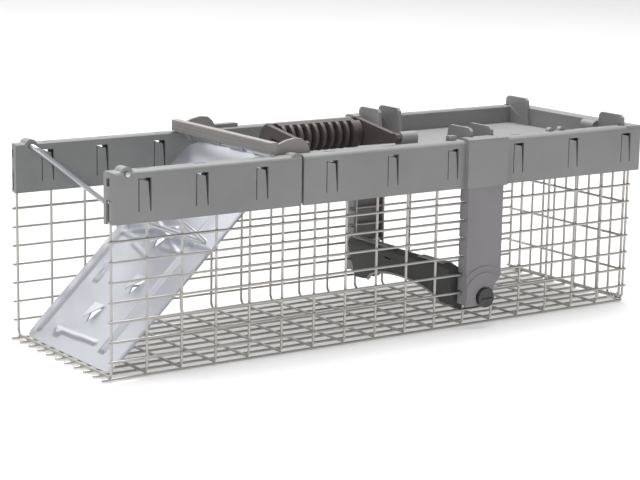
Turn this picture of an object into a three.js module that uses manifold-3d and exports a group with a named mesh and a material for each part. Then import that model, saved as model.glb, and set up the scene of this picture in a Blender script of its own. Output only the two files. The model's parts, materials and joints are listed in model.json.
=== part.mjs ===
// Single-door live catch trap: a welded wire cage under a moulded plastic top, with a
// gravity door, a lock bail, a set lever, a trip treadle with its linkage and a folding handle.
// Millimetres. +X runs from the door to the rear, +Z is up, the near side is -Y.
// The origin is the middle of the footprint, on the surface that the floor wires rest on.
import * as THREE from "three";
import { mergeVertices } from "three/addons/utils/BufferGeometryUtils.js";
import Module from "manifold-3d";

const wasm = await Module();
wasm.setup();

// ---------- driving dimensions ----------
const BIG_PITCH = 25.4; // spacing of the cross wires along the cage
const SMALL_PITCH = 12.7; // spacing of the lengthwise wires
const CROSS_WIRES = 18;
const WIRE = 1.6; // side of the square bar with the area of a 1.8 mm round wire
const CAGE_HALF = ((CROSS_WIRES - 1) * BIG_PITCH) / 2; // half length, to the end cross wires
const SIDE_LAYER = 65.6; // |Y| where the two wire layers of a side wall meet
const FLOOR_HALF = 63.6; // half width of the floor panel
const BEND_WIRE_Y = 62.9; // lengthwise wire in the bend between floor and side
const MESH_TOP = 115.1;
const TIP = 5.6; // lengthwise wire left past the first cross wire
const GAP = 0.3; // running clearance

const HALF_LENGTH = 221.5; // of the whole trap
const RAIL_TOP = 133;
const RAIL_BOTTOM = 100;
const RAIL_OUT = 70; // |Y| of the outer face
const RAIL_IN = 60.3; // |Y| of the inner face
const WALL = 1.8; // plastic wall thickness
const SEAM = { front: -78.2, rear: -76.5 }; // open joint between the front rails and the top frame
const FRONT_END = -218.5; // front ends of the front rails
const TRAY_TOP = 120;
const TRAY_WALL = 2;
const TONGUE_X = [-194.8, -153.5, -108.7, -54.1, -4.3, 46.9, 105.3, 156.3, 207.3];
const TONGUE = { halfWidth: 4.6, low: 107, high: 128, thin: 0.7, wide: 2.2 };
const TOP_SLOT = { front: 2.5, rear: 6.5, inner: 62.6, outer: 63.8 }; // over each tongue

const HINGE = { x: -82, z: 130 }; // door and set lever
const DOOR = { tilt: 43.7, reach: 183, half: 58.5, sheet: 1.2, lip: 5, neck: 57.1 };
const ROD_R = 2;
const LEVER_BAR = { front: -98, rear: -92.5, low: 134, high: 141.5, half: 62.5 };
const LEVER_ARM = { inner: 57.5, outer: 59.8, rear: -64.7 };

const BAIL = { x: -207, z: 131, radius: 1.75, half: 56.5, end: 70.6 };
const BAIL_BAR = { x: -141.4, z: 79.3 }; // crossbar, resting 2 mm off the door
const BOSS_R = 4.6;

const PIVOT = { x: 76.2, z: 21.2 }; // treadle
const HUB_R = 9.5;
const SHAFT_R = 3;
const COLUMN = { front: 60, rear: 91, inner: 70.3, outer: 71.8, flange: 67.6, deep: 62.6, top: 124, toe: 16 };
const BOSS_RINGS = [22.4, 18]; // raised steps round the knob
const SADDLE = { front: 57.8, rear: 93.2, outer: 73.3, crown: 134.4 }; // holds the column's head
const KNOB = { radius: 6.8, inner: 72.1, outer: 75.2 };
const TREADLE_HALF = 60;

const LINK = { x: 68.2, width: 5, inner: 67.9, outer: 69.1 };
const ROCKER = { x: 59, z: 121, inner: 64.3, outer: 65.5 };
const LATCH_ROD = { low: 126.2, high: 129, front: -63.3, rear: 56.9 };

const HANDLE = { y: -53, z: 136, gripY: -8, gripZ: 134.5, left: -63.6, right: 8, radius: 10.5 };
const GROOVES = { count: 10, first: -61, pitch: 6.4, width: 3.8, depth: 5 };
const TAB_X = [66, 84];
const REAR_TAB_X = 208;
const TAB = { inner: 41, outer: 65.5, top: 140.5, half: 1.25 };

// ---------- solids from three.js geometry ----------
function solid(geometry) {
  const bare = geometry.index ? geometry.toNonIndexed() : geometry.clone();
  bare.deleteAttribute("normal");
  bare.deleteAttribute("uv");
  const merged = mergeVertices(bare, 1e-4);
  return new wasm.Manifold(
    new wasm.Mesh({
      numProp: 3,
      vertProperties: new Float32Array(merged.attributes.position.array),
      triVerts: new Uint32Array(merged.index.array),
    }),
  );
}

function join(parts) {
  return parts.reduce((sum, part) => sum.add(part));
}

function cut(body, tools) {
  return tools.reduce((rest, tool) => rest.subtract(tool), body);
}

// A block between two corners, given as pairs of limits on X, Y and Z.
function block([x0, x1], [y0, y1], [z0, z1]) {
  const shape = new THREE.BoxGeometry(x1 - x0, y1 - y0, z1 - z0);
  return solid(shape.translate((x0 + x1) / 2, (y0 + y1) / 2, (z0 + z1) / 2));
}

const BASIS = {
  // local x, y and depth go to these row axes
  XZ: [[1, 0, 0], [0, 0, 1], [0, -1, 0]],
  YZ: [[0, 1, 0], [0, 0, 1], [1, 0, 0]],
  XY: [[1, 0, 0], [0, 1, 0], [0, 0, 1]],
};

// Extrudes an outline drawn in a plane between two limits of the third axis.
function prism(plane, outline, [low, high]) {
  const shape = outline instanceof THREE.Shape ? outline : polygon(outline);
  const body = new THREE.ExtrudeGeometry(shape, {
    depth: high - low,
    bevelEnabled: false,
    curveSegments: 8,
  });
  const [u, v, w] = BASIS[plane].map((axis) => new THREE.Vector3(...axis));
  body.applyMatrix4(new THREE.Matrix4().makeBasis(u, v, w));
  const offset = plane === "XZ" ? [0, high, 0] : plane === "YZ" ? [low, 0, 0] : [0, 0, low];
  return solid(body.translate(...offset));
}

function polygon(points) {
  return new THREE.Shape(points.map(([a, b]) => new THREE.Vector2(a, b)));
}

// A round bar from one point to another.
function bar(from, to, radius, sides = 12) {
  const a = new THREE.Vector3(...from);
  const b = new THREE.Vector3(...to);
  const way = b.clone().sub(a);
  const shape = new THREE.CylinderGeometry(radius, radius, way.length(), sides);
  const turn = new THREE.Quaternion().setFromUnitVectors(
    new THREE.Vector3(0, 1, 0),
    way.clone().normalize(),
  );
  shape.applyQuaternion(turn);
  const middle = a.add(b).multiplyScalar(0.5);
  return solid(shape.translate(middle.x, middle.y, middle.z));
}

function ball(at, radius) {
  return solid(new THREE.SphereGeometry(radius, 12, 8).translate(...at));
}

// Limits on Y for a stretch that runs from |Y| = a to |Y| = b on one side.
function across(side, a, b) {
  return side < 0 ? [-b, -a] : [a, b];
}

// ---------- named meshes ----------
const trap = new THREE.Group();

function add(name, body, finish) {
  const data = body.getMesh();
  const stride = data.numProp;
  const points = new Float32Array(data.numVert * 3);
  for (let i = 0; i < data.numVert; i++)
    points.set(data.vertProperties.subarray(i * stride, i * stride + 3), i * 3);
  const shape = new THREE.BufferGeometry();
  shape.setAttribute("position", new THREE.BufferAttribute(points, 3));
  shape.setIndex(new THREE.BufferAttribute(new Uint32Array(data.triVerts), 1));
  const mesh = new THREE.Mesh(shape, finish());
  mesh.name = name;
  trap.add(mesh);
}

function finishOf(color, roughness, metalness) {
  return () => new THREE.MeshStandardMaterial({ color, roughness, metalness });
}

const zincWire = finishOf(0xb9b6b2, 0.4, 0.9);
const zincSheet = finishOf(0xd6d7de, 0.35, 0.9);
const brightWire = finishOf(0xcfd0d4, 0.3, 0.95);
const greyPlastic = finishOf(0x7e7f80, 0.6, 0);
const leverPlastic = finishOf(0x979490, 0.55, 0);
const handlePlastic = finishOf(0x5a5252, 0.6, 0);
const treadlePlastic = finishOf(0x474a47, 0.5, 0);
const darkPlastic = finishOf(0x3c3b3d, 0.5, 0);

const sides = [
  ["near", -1],
  ["far", 1],
];

// ---------- wire cage ----------
const crossX = Array.from({ length: CROSS_WIRES }, (_, i) => i * BIG_PITCH - CAGE_HALF);
const floorRows = Array.from({ length: 9 }, (_, i) => (i - 4) * SMALL_PITCH);
const floorY = [-BEND_WIRE_Y, ...floorRows, BEND_WIRE_Y];
const rowZ = Array.from({ length: 9 }, (_, i) => (i + 1) * SMALL_PITCH);
const half = WIRE / 2;

function around(value) {
  return [value - half, value + half];
}

function floorMesh() {
  const long = [-CAGE_HALF - TIP, CAGE_HALF + half];
  const bars = crossX.map((x) => block(around(x), [-FLOOR_HALF, FLOOR_HALF], [WIRE, 2 * WIRE]));
  floorY.forEach((y) => bars.push(block(long, around(y), [0, WIRE])));
  return join(bars);
}

function sideMesh(side) {
  const inner = across(side, SIDE_LAYER - WIRE, SIDE_LAYER);
  const outer = across(side, SIDE_LAYER, SIDE_LAYER + WIRE);
  const bars = crossX.map((x) => block(around(x), inner, [WIRE, MESH_TOP]));
  rowZ.forEach((z) => bars.push(block([-CAGE_HALF - 2.4, CAGE_HALF + half], outer, around(z))));
  return join(bars);
}

const REAR_LAYER = 213.4; // X where the two wire layers of the rear wall meet
const REAR_LOW = 4.6; // lowest row of the rear wall, just over the floor

function rearMesh() {
  const upright = [REAR_LAYER, REAR_LAYER + WIRE];
  const height = [REAR_LOW - half, 112];
  const bars = floorY.map((y) => block(upright, around(y), height));
  for (let row = 0; row <= 4; row++)
    bars.push(
      block(
        [REAR_LAYER - WIRE, REAR_LAYER],
        [-FLOOR_HALF, FLOOR_HALF],
        around(Math.max(REAR_LOW, row * BIG_PITCH)),
      ),
    );
  return join(bars);
}

// Folded sheet clip that ties the rear wall's lowest row to the last floor wire.
function cornerClip(side) {
  const sheet = 0.8;
  const [x0, x1, z0, z1] = [210.3, 217.9, 0.3, 6.7];
  const outer = prism("XZ", [[x0, z0], [x1, z0], [x1, z1], [x0, z1]], across(side, 53, 60.6));
  const hollow = block([x0 + sheet, x1 - sheet], [-90, 90], [z0 + sheet, z1 - sheet]);
  const slit = block([x0 - 1, x0 + sheet + 1], [-90, 90], [2, 2.8]);
  return cut(outer, [hollow, slit]);
}

// ---------- plastic top ----------
// Section of a rail: an inverted U over the top of the side wall, with rounded shoulders.
function railSection(side) {
  const round = 3;
  const shape = new THREE.Shape();
  shape.moveTo(RAIL_IN, RAIL_BOTTOM);
  shape.lineTo(RAIL_IN + WALL, RAIL_BOTTOM);
  shape.lineTo(RAIL_IN + WALL, RAIL_TOP - WALL);
  shape.lineTo(RAIL_OUT - WALL, RAIL_TOP - WALL);
  shape.lineTo(RAIL_OUT - WALL, RAIL_BOTTOM);
  shape.lineTo(RAIL_OUT, RAIL_BOTTOM);
  for (let step = 0; step <= 3; step++) {
    const a = (step * Math.PI) / 6;
    const y = RAIL_OUT - round + round * Math.cos(a);
    shape.lineTo(y, RAIL_TOP - round + round * Math.sin(a));
  }
  shape.lineTo(RAIL_IN + 1, RAIL_TOP);
  shape.lineTo(RAIL_IN, RAIL_TOP - 1);
  const points = shape.getPoints().map((p) => [side * p.x, p.y]);
  return polygon(side < 0 ? points.reverse() : points);
}

function rail(side, from, to) {
  return prism("YZ", railSection(side), [from, to]);
}

// The slot around one spring tongue: a thin front slit and a tapered rear one, joined
// at the top by a wedge.
function tongueSlot(x, limitsY) {
  const { halfWidth, low, high, thin, wide } = TONGUE;
  const [front, rear] = [x - halfWidth, x + halfWidth];
  const outline = [
    [front, low],
    [front + thin, low],
    [front + thin, high - thin],
    [rear - wide, high - wide],
    [rear - thin, low],
    [rear, low],
    [rear, high],
    [front, high],
  ];
  return prism("XZ", outline, limitsY);
}

// Every cut that belongs to the tongues of one rail.
function tongueSlots(side, positions, bothWalls) {
  const outerWall = across(side, RAIL_OUT - WALL - 1, RAIL_OUT + 1);
  const innerWall = across(side, RAIL_IN - 1, RAIL_IN + WALL + 1);
  const { front, rear, inner, outer } = TOP_SLOT;
  const topLimits = across(side, inner, outer);
  return positions.flatMap((x) => [
    tongueSlot(x, outerWall),
    block([x - front, x + rear], topLimits, [RAIL_TOP - WALL - 1, RAIL_TOP + 1]),
    ...(bothWalls ? [tongueSlot(x, innerWall)] : []),
  ]);
}

// A lump over the end of a rod that runs along Y, down to the rail's own top.
function rodBoss(side, x, z) {
  const [inner, outer] = across(side, RAIL_IN, RAIL_OUT - 1);
  const lump = bar([x, inner, z], [x, outer, z], BOSS_R, 16);
  return lump.subtract(block([x - 9, x + 9], [-90, 90], [90, z - 3.4]));
}

function frontRail(side) {
  const front = FRONT_END;
  const noseWall = prism("XY", frontPlan(side, front), [RAIL_BOTTOM, RAIL_TOP - 1.5]);
  const nose = noseWall.intersect(
    block([front, front + WALL], across(side, RAIL_IN, RAIL_OUT), [RAIL_BOTTOM, RAIL_TOP]),
  );
  const plan = prism("XY", frontPlan(side, front), [RAIL_BOTTOM - 1, RAIL_TOP + 12]);
  const bearings = [
    [BAIL.x, BAIL.z, BAIL.radius + GAP, RAIL_OUT + 1],
    [HINGE.x, HINGE.z, ROD_R + GAP, RAIL_OUT - 2.4],
  ];
  const body = join([
    rail(side, front, SEAM.front),
    nose,
    ...bearings.map(([x, z]) => rodBoss(side, x, z)),
  ]).intersect(plan);
  const inner = RAIL_IN - 1;
  const holes = bearings.map(([x, z, r, outer]) =>
    bar([x, side * inner, z], [x, side * outer, z], r, 16),
  );
  const meshLimits = across(side, SIDE_LAYER - WIRE - GAP, SIDE_LAYER + WIRE + GAP);
  const windows = [
    block([front - 1, front + 3], across(side, 64, 67), [124, 129]),
    block([front - 1, front + 3], meshLimits, [RAIL_BOTTOM - 1, MESH_TOP + GAP]),
  ];
  const slots = tongueSlots(side, TONGUE_X.slice(0, 3), true);
  return cut(body, [...holes, ...windows, ...slots]);
}

// Plan of a front rail, with its outer front corner rounded.
function frontPlan(side, front) {
  const round = 5;
  const points = [
    [SEAM.front, RAIL_OUT],
    [SEAM.front, RAIL_IN],
    [front, RAIL_IN],
  ];
  for (let step = 0; step <= 4; step++) {
    const a = (step * Math.PI) / 8;
    const x = front + round - round * Math.cos(a);
    points.push([x, RAIL_OUT - round + round * Math.sin(a)]);
  }
  const placed = points.map(([x, y]) => [x, side * y]);
  return polygon(side < 0 ? placed : placed.reverse());
}

// Upright tab that stands on the tray, square to X, and reaches over the rail.
function tab(x, side) {
  const { inner, outer, top, half: thick } = TAB;
  const section = [
    [RAIL_IN + 0.4, TRAY_TOP - 1],
    [inner - 3, TRAY_TOP - 1],
    [inner, top - 2],
    [inner + 2, top],
    [outer - 2.5, top],
    [outer, top - 2],
    [outer, RAIL_TOP - 1],
    [RAIL_IN + 0.4, RAIL_TOP - 1],
  ];
  const placed = section.map(([y, z]) => [side * y, z]);
  return prism("YZ", polygon(side < 0 ? placed : placed.reverse()), [x - thick, x + thick]);
}

// Thickened stretch of a rail whose pocket takes the head of a column from below.
function saddle(side) {
  const { front, rear, outer, crown } = SADDLE;
  const section = [
    [RAIL_OUT - 0.5, RAIL_BOTTOM],
    [outer, RAIL_BOTTOM],
    [outer, crown - 2.4],
    [outer - 0.6, crown - 0.8],
    [outer - 2, crown],
    [RAIL_IN + 3, crown],
    [RAIL_IN + 1.4, crown - 0.6],
    [RAIL_IN + 1, RAIL_TOP - 1],
    [RAIL_OUT - 0.5, RAIL_TOP - 1],
  ];
  const placed = section.map(([y, z]) => [side * y, z]);
  return prism("YZ", polygon(side < 0 ? placed.reverse() : placed), [front, rear]);
}

function columnPocket(side) {
  const { front, rear, inner, outer, top } = COLUMN;
  const wide = across(side, inner - GAP, outer + GAP);
  return block([front - GAP, rear + GAP], wide, [RAIL_BOTTOM - 1, top + GAP]);
}

// Small lumps of the rim: snap posts, a stop block, two raised stretches and a rear boss.
function rimLumps() {
  const postY = [-63.5, -60];
  const posts = [140.6, 150.6].map((x) => bar([x, postY[0], 133], [x, postY[1], 133], 2.8, 12));
  return [
    ...posts,
    block([47, 53], [-65, -61], [RAIL_TOP - 1, RAIL_TOP + 3.2]),
    block([-64, -44], [62, 68.5], [RAIL_TOP - 1, RAIL_TOP + 2.6]),
    bar([-70, 61.5, RAIL_TOP], [-70, 68, RAIL_TOP], 3.8, 16),
    bar([205.5, -40, 129.5], [205.5, -26, 129.5], 4, 16),
  ];
}

// Bearing boss for one foot of the handle, on a post from the tray.
function handleBoss([x0, x1]) {
  const round = bar([x0, HANDLE.y, HANDLE.z], [x1, HANDLE.y, HANDLE.z], 4.2, 16);
  const post = block([x0, x1], [HANDLE.y - 4, HANDLE.y + 4], [TRAY_TOP - 1, HANDLE.z]);
  return round.add(post);
}

const LEFT_FOOT = [-66, -62.6];
const RIGHT_FOOT = [8.6, 12.4];
const LEFT_BOSS = [-72, LEFT_FOOT[0] - GAP];
const RIGHT_BOSS = [RIGHT_FOOT[1] + GAP, 26];
const PIN_R = 2;
const LEFT_PIN = [-70, -65]; // stubs of the handle, which turn in the bosses
const RIGHT_PIN = [11.4, 19.4];

function topFrame() {
  const rear = HALF_LENGTH;
  const rearInner = 208.6;
  const rearWalls = [
    block([rear - WALL, rear], [-RAIL_OUT, RAIL_OUT], [RAIL_BOTTOM, RAIL_TOP - 1]),
    block([rearInner, rear], [-RAIL_OUT, RAIL_OUT], [RAIL_TOP - WALL, RAIL_TOP]),
    block([rearInner, rearInner + WALL], [-RAIL_IN, RAIL_IN], [105, RAIL_TOP - 1]),
  ];
  const trayWide = [-RAIL_IN - 1, RAIL_IN + 1];
  const tray = block([SEAM.rear, rearInner + 1], trayWide, [TRAY_TOP - TRAY_WALL, TRAY_TOP]);
  const body = join([
    rail(-1, SEAM.rear, rear),
    rail(1, SEAM.rear, rear),
    ...rearWalls,
    tray,
    ...sides.map(([, side]) => saddle(side)),
    ...sides.flatMap(([, side]) => [...TAB_X, REAR_TAB_X].map((x) => tab(x, side))),
    ...rimLumps(),
    handleBoss(LEFT_BOSS),
    handleBoss(RIGHT_BOSS),
  ]);
  const leverNotches = sides.map(([, side]) =>
    block([SEAM.rear - 1, -63], across(side, LEVER_ARM.inner - 1, RAIL_IN), [110, TRAY_TOP + 1]),
  );
  const pockets = sides.map(([, side]) => columnPocket(side));
  const { y, z } = HANDLE;
  const pinHoles = [LEFT_PIN, RIGHT_PIN].map(([x0, x1]) =>
    bar([x0 - GAP, y, z], [x1 + GAP, y, z], PIN_R + GAP),
  );
  const linkWindow = block([64.6, 71.8], [-RAIL_OUT - 1, -67.4], [RAIL_BOTTOM - 1, 125]);
  const catchWindow = block([-66, -58.5], [-RAIL_IN - WALL - 1, -RAIL_IN + 1], [125.4, 129.8]);
  const meshSlot = block([211.3, 215.6], [-64.2, 64.2], [RAIL_BOTTOM - 1, 113]);
  const slots = sides.flatMap(([, side]) => tongueSlots(side, TONGUE_X.slice(3), false));
  const windows = [linkWindow, catchWindow, meshSlot];
  return cut(body, [...leverNotches, ...pockets, ...pinHoles, ...windows, ...slots]);
}

// Column that hangs from the rail and carries one end of the treadle.
function column(side) {
  const { front, rear, inner, outer, flange, deep, top, toe } = COLUMN;
  const heelZ = PIVOT.z + 12.8;
  const lug = 6.2;
  const ledge = 1.5;
  const face = new THREE.Shape();
  face.moveTo(front, top);
  face.lineTo(front, toe + 1);
  face.lineTo(front + 1, toe);
  for (let step = 0; step <= 5; step++) {
    const a = -Math.PI / 3 + (step * Math.PI) / 15;
    face.lineTo(PIVOT.x + lug * Math.cos(a), PIVOT.z + lug * Math.sin(a));
  }
  face.lineTo(rear - 6, heelZ - 4);
  face.lineTo(rear - 1.5, heelZ);
  face.lineTo(rear, heelZ + 2);
  face.lineTo(rear, top);
  const wallZ = [toe + 1, RAIL_BOTTOM - 0.5];
  const notches = rowZ.map((z) =>
    block([front - 1, front + ledge + 1], across(side, deep - 1, flange), [z - 1.2, z + 1.2]),
  );
  const frontWall = block([front, front + ledge], across(side, deep, inner + 0.5), wallZ);
  const rearWallZ = [heelZ + 2, RAIL_BOTTOM - 0.5];
  const rings = BOSS_RINGS.map((radius, step) => {
    const wide = [side * (outer - 0.2), side * (outer + 0.6 * (step + 1))];
    return bar([PIVOT.x, wide[0], PIVOT.z], [PIVOT.x, wide[1], PIVOT.z], radius, 40);
  });
  const knobWell = bar(
    [PIVOT.x, side * outer, PIVOT.z],
    [PIVOT.x, side * (outer + 9), PIVOT.z],
    KNOB.radius + 1,
    32,
  );
  const ringLimits = prism("XZ", face, across(side, inner, outer + 2));
  const raised = cut(join(rings).intersect(ringLimits), [knobWell]);
  const parts = [
    prism("XZ", face, across(side, inner, outer)),
    cut(frontWall, notches),
    block([rear - ledge, rear], across(side, flange, inner + 0.5), rearWallZ),
    raised,
  ];
  const bore = bar(
    [PIVOT.x, side * (inner - 1), PIVOT.z],
    [PIVOT.x, side * (outer + 1), PIVOT.z],
    SHAFT_R + GAP,
    20,
  );
  return cut(join(parts), [bore]);
}

// ---------- door, hinge rod and set lever ----------
const TILT = THREE.MathUtils.degToRad(DOOR.tilt);
const doorTurn = new THREE.Matrix4()
  .makeTranslation(HINGE.x, 0, HINGE.z)
  .multiply(new THREE.Matrix4().makeRotationY(Math.PI - TILT));

// Moves a solid drawn with the hinge at the origin and the door along +X to its place.
function placeDoor(body) {
  return body.transform(doorTurn.elements);
}

function doorPanel() {
  const { reach, half: wide, sheet, lip, neck } = DOOR;
  const start = ROD_R + 1.4;
  const outline = [
    [start, -neck],
    [10, -neck],
    [12, -wide],
    [reach - 6, -wide],
    [reach, -wide + 6],
    [reach, wide - 6],
    [reach - 6, wide],
    [12, wide],
    [10, neck],
    [start, neck],
  ];
  const panel = prism("XY", outline, [-sheet / 2, sheet / 2]);
  const lips = [-1, 1].map((s) =>
    block([26, reach - 9], across(s, wide - sheet, wide), [-sheet / 2, lip]),
  );
  const curl = bar([0, -neck + 1, 0], [0, neck - 1, 0], ROD_R + 1.6, 16);
  const bore = bar([0, -neck - 1, 0], [0, neck + 1, 0], ROD_R + GAP, 16);
  return placeDoor(cut(join([panel, curl, ...lips]), [bore]));
}

function hingeRod() {
  const reach = RAIL_OUT - 3;
  return bar([HINGE.x, -reach, HINGE.z], [HINGE.x, reach, HINGE.z], ROD_R, 16);
}

function setLever() {
  const { front, rear, low, high, half: wide } = LEVER_BAR;
  const { inner, outer, rear: end } = LEVER_ARM;
  const profile = new THREE.Shape();
  profile.moveTo(front, low);
  profile.lineTo(rear, low);
  profile.lineTo(HINGE.x - 5, HINGE.z - 3);
  profile.lineTo(HINGE.x + 3, HINGE.z - 4.4);
  profile.lineTo(end - 3, HINGE.z);
  profile.lineTo(end, HINGE.z + 1.7);
  profile.lineTo(end - 0.9, HINGE.z + 5.4);
  profile.lineTo(end - 3.1, HINGE.z + 9.4);
  profile.lineTo(end - 6.8, HINGE.z + 12.4);
  profile.lineTo(end - 13, HINGE.z + 13);
  profile.lineTo(end - 20, HINGE.z + 11.6);
  profile.lineTo(rear + 3, HINGE.z + 9.8);
  profile.lineTo(rear, high);
  profile.lineTo(front, high);
  const arms = [-1, 1].map((side) => prism("XZ", profile.clone(), across(side, inner, outer)));
  const bridge = block([front, rear], [-wide, wide], [low, high]);
  const hollow = block([front + 1.8, rear - 1.6], [-wide + 2, wide - 2], [low - 1, high - 2]);
  const channel = bridge.subtract(hollow);
  const bore = bar([HINGE.x, -65, HINGE.z], [HINGE.x, 65, HINGE.z], ROD_R + GAP, 16);
  return cut(join([channel, ...arms]), [bore]);
}

// ---------- lock bail ----------
function lockBail() {
  const { x, z, radius, half: wide, end } = BAIL;
  const corners = [
    [x, -end, z],
    [x, -wide, z],
    [BAIL_BAR.x, -wide, BAIL_BAR.z],
    [BAIL_BAR.x, wide, BAIL_BAR.z],
    [x, wide, z],
    [x, end, z],
  ];
  const runs = corners.slice(1).map((point, i) => bar(corners[i], point, radius));
  return join([...runs, ...corners.slice(1, 5).map((point) => ball(point, radius))]);
}

// ---------- treadle and linkage ----------
function treadle() {
  const hood = [
    [60, 14],
    [56, 27],
    [53.4, 37],
    [53.6, 41.5],
    [56, 44],
    [59.5, 44],
    [66, 39.5],
    [74, 31],
    [72.4, 29.6],
    [64.6, 37.4],
    [59, 41.6],
    [56.6, 41.4],
    [55.6, 37.4],
    [58.2, 27.4],
    [62, 14.6],
  ];
  const wall = 2.4;
  const cheek = [
    [53.8, 41],
    [60, 13],
    [68, 10.6],
    [PIVOT.x, PIVOT.z],
    [78, 27],
    [66, 39.2],
    [59.5, 43.6],
    [56, 43.6],
  ];
  const face = prism("XZ", hood, [-TREADLE_HALF, TREADLE_HALF]);
  const parts = [face];
  [-1, 1].forEach((side) => {
    parts.push(prism("XZ", cheek, across(side, TREADLE_HALF - wall, TREADLE_HALF)));
    const [a, b] = across(side, TREADLE_HALF - 4, 63.3);
    parts.push(bar([PIVOT.x, a, PIVOT.z], [PIVOT.x, b, PIVOT.z], HUB_R, 24));
  });
  const arch = new THREE.Shape().moveTo(-44, 0).lineTo(44, 0);
  for (let step = 0; step <= 10; step++) {
    const a = (step * Math.PI) / 10;
    arch.lineTo(44 * Math.cos(a), 12 + 13 * Math.sin(a));
  }
  const mouth = prism("YZ", arch, [45, 66]);
  const bores = [-1, 1].map((side) =>
    bar([PIVOT.x, side * 58, PIVOT.z], [PIVOT.x, side * 66, PIVOT.z], SHAFT_R - 1 + GAP, 16),
  );
  const slot = block([50, 60], [7, 15], [35.6, 37]);
  return cut(join(parts), [mouth, ...bores, slot]);
}

// Cap, shaft and stub that carry one end of the treadle; the near one has the trip crank.
function pivotKnob(side) {
  const { x, z } = PIVOT;
  const at = (y) => [x, side * y, z];
  const parts = [
    bar(at(63.7), at(KNOB.inner + 0.2), SHAFT_R, 20),
    bar(at(58.3), at(64), SHAFT_R - 1, 16),
    bar(at(KNOB.inner), at(KNOB.outer), KNOB.radius, 24),
  ];
  if (side < 0)
    parts.push(
      block([LINK.x - 2.5, x], across(side, LINK.inner, LINK.outer), [z - 2.5, z + 2.5]),
    );
  const slit = block([x - 5, x + 5], across(side, KNOB.outer - 0.9, KNOB.outer + 1), [z - 0.6, z + 0.6]);
  return cut(join(parts), [slit]);
}

function triggerLink() {
  const { x, width, inner, outer } = LINK;
  const top = ROCKER.z - 1.8;
  const strap = block([x - width / 2, x + width / 2], across(-1, inner, outer), [PIVOT.z + 3.3, top]);
  const shelf = block([x - width / 2, x + width / 2], across(-1, ROCKER.inner, outer), [top - 1.2, top]);
  return strap.add(shelf);
}

// Bell crank: the strap lifts its level arm, its upright arm pushes the latch rod forward.
function latchRocker() {
  const { x, z, inner, outer } = ROCKER;
  const plate = [
    [x - 2.2, z - 2.4],
    [x + 2.4, z - 2.4],
    [x + 5, z - 1],
    [x + 11, z - 1],
    [x + 11, z + 1.2],
    [x + 3, z + 2],
    [x + 1, z + 7.6],
    [x - 1.6, z + 7.6],
    [x - 2.8, z],
  ];
  return cut(prism("XZ", plate, across(-1, inner, outer)), [
    bar([x, -90, z], [x, 0, z], 1 + GAP, 12),
  ]);
}

function rockerPin() {
  const { x, z } = ROCKER;
  return bar([x, -RAIL_OUT + WALL + GAP, z], [x, -RAIL_IN - WALL - GAP, z], 1, 12);
}

function latchRod() {
  const { low, high, front, rear } = LATCH_ROD;
  const rod = block([front, rear], across(-1, 64.2, 66.4), [low, high]);
  const nose = block([front, front + 4], across(-1, LEVER_ARM.inner, 66.4), [low, high]);
  return rod.add(nose);
}

// ---------- carrying handle ----------
// The rib grooves stop short of the spine along the top of the grip.
function gripGrooves() {
  const { gripY: y, gripZ: z, radius } = HANDLE;
  const { count, first, pitch, width, depth } = GROOVES;
  return Array.from({ length: count }, (_, i) => {
    const x0 = first + i * pitch;
    const [start, end] = [x0 - 1, x0 + width + 1];
    return bar([x0, y, z], [x0 + width, y, z], radius + 2, 24)
      .subtract(bar([start, y, z], [end, y, z], radius - depth, 16))
      .subtract(block([start, end], [y - 4.5, y + 20], [z + 6.5, z + 20]));
  });
}

// Section of an arm: a full web, or a slim bar with open space under it.
function armSection(slim) {
  const { y, z, gripY, gripZ, radius } = HANDLE;
  const under = slim
    ? [
        [gripY - 7, gripZ + 2],
        [gripY - 7, gripZ - 4],
      ]
    : [];
  return [
    [y, z - 3.4],
    ...under,
    [gripY - 2, gripZ - radius + 1],
    [gripY + 5, gripZ - 7],
    [gripY + 8, gripZ],
    [gripY + 5, gripZ + 7],
    [gripY, gripZ + radius - 0.4],
    [gripY - 4, gripZ + radius - 0.8],
    [y + 3, z + 2.8],
    [y, z + 3.4],
    [y - 2.6, z + 2.4],
    [y - 3.6, z],
    [y - 2.6, z - 2.4],
  ];
}

function handle() {
  const { y, z, gripY, gripZ, left, right, radius } = HANDLE;
  const grip = bar([left, gripY, gripZ], [right, gripY, gripZ], radius, 24);
  const arms = [
    prism("YZ", armSection(true), LEFT_FOOT),
    prism("YZ", armSection(false), RIGHT_FOOT),
  ];
  const bridges = [
    bar([LEFT_FOOT[0] + 1, gripY, gripZ], [left + 1, gripY, gripZ], radius - 1.2, 20),
    bar([right - 1, gripY, gripZ], [RIGHT_FOOT[0] + 1, gripY, gripZ], radius - 1.2, 20),
  ];
  const stubs = [LEFT_PIN, RIGHT_PIN].map(([x0, x1]) => bar([x0, y, z], [x1, y, z], PIN_R));
  const recesses = [
    block([left + 1.5, left + 5.5], [gripY - 6.5, gripY - 1], [gripZ + 5.5, gripZ + 20]),
    block([right - 4, right - 0.2], [gripY - 5, gripY + 1], [gripZ + 7.5, gripZ + 20]),
  ];
  return cut(join([grip, ...arms, ...bridges, ...stubs]), [...gripGrooves(), ...recesses]);
}

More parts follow.
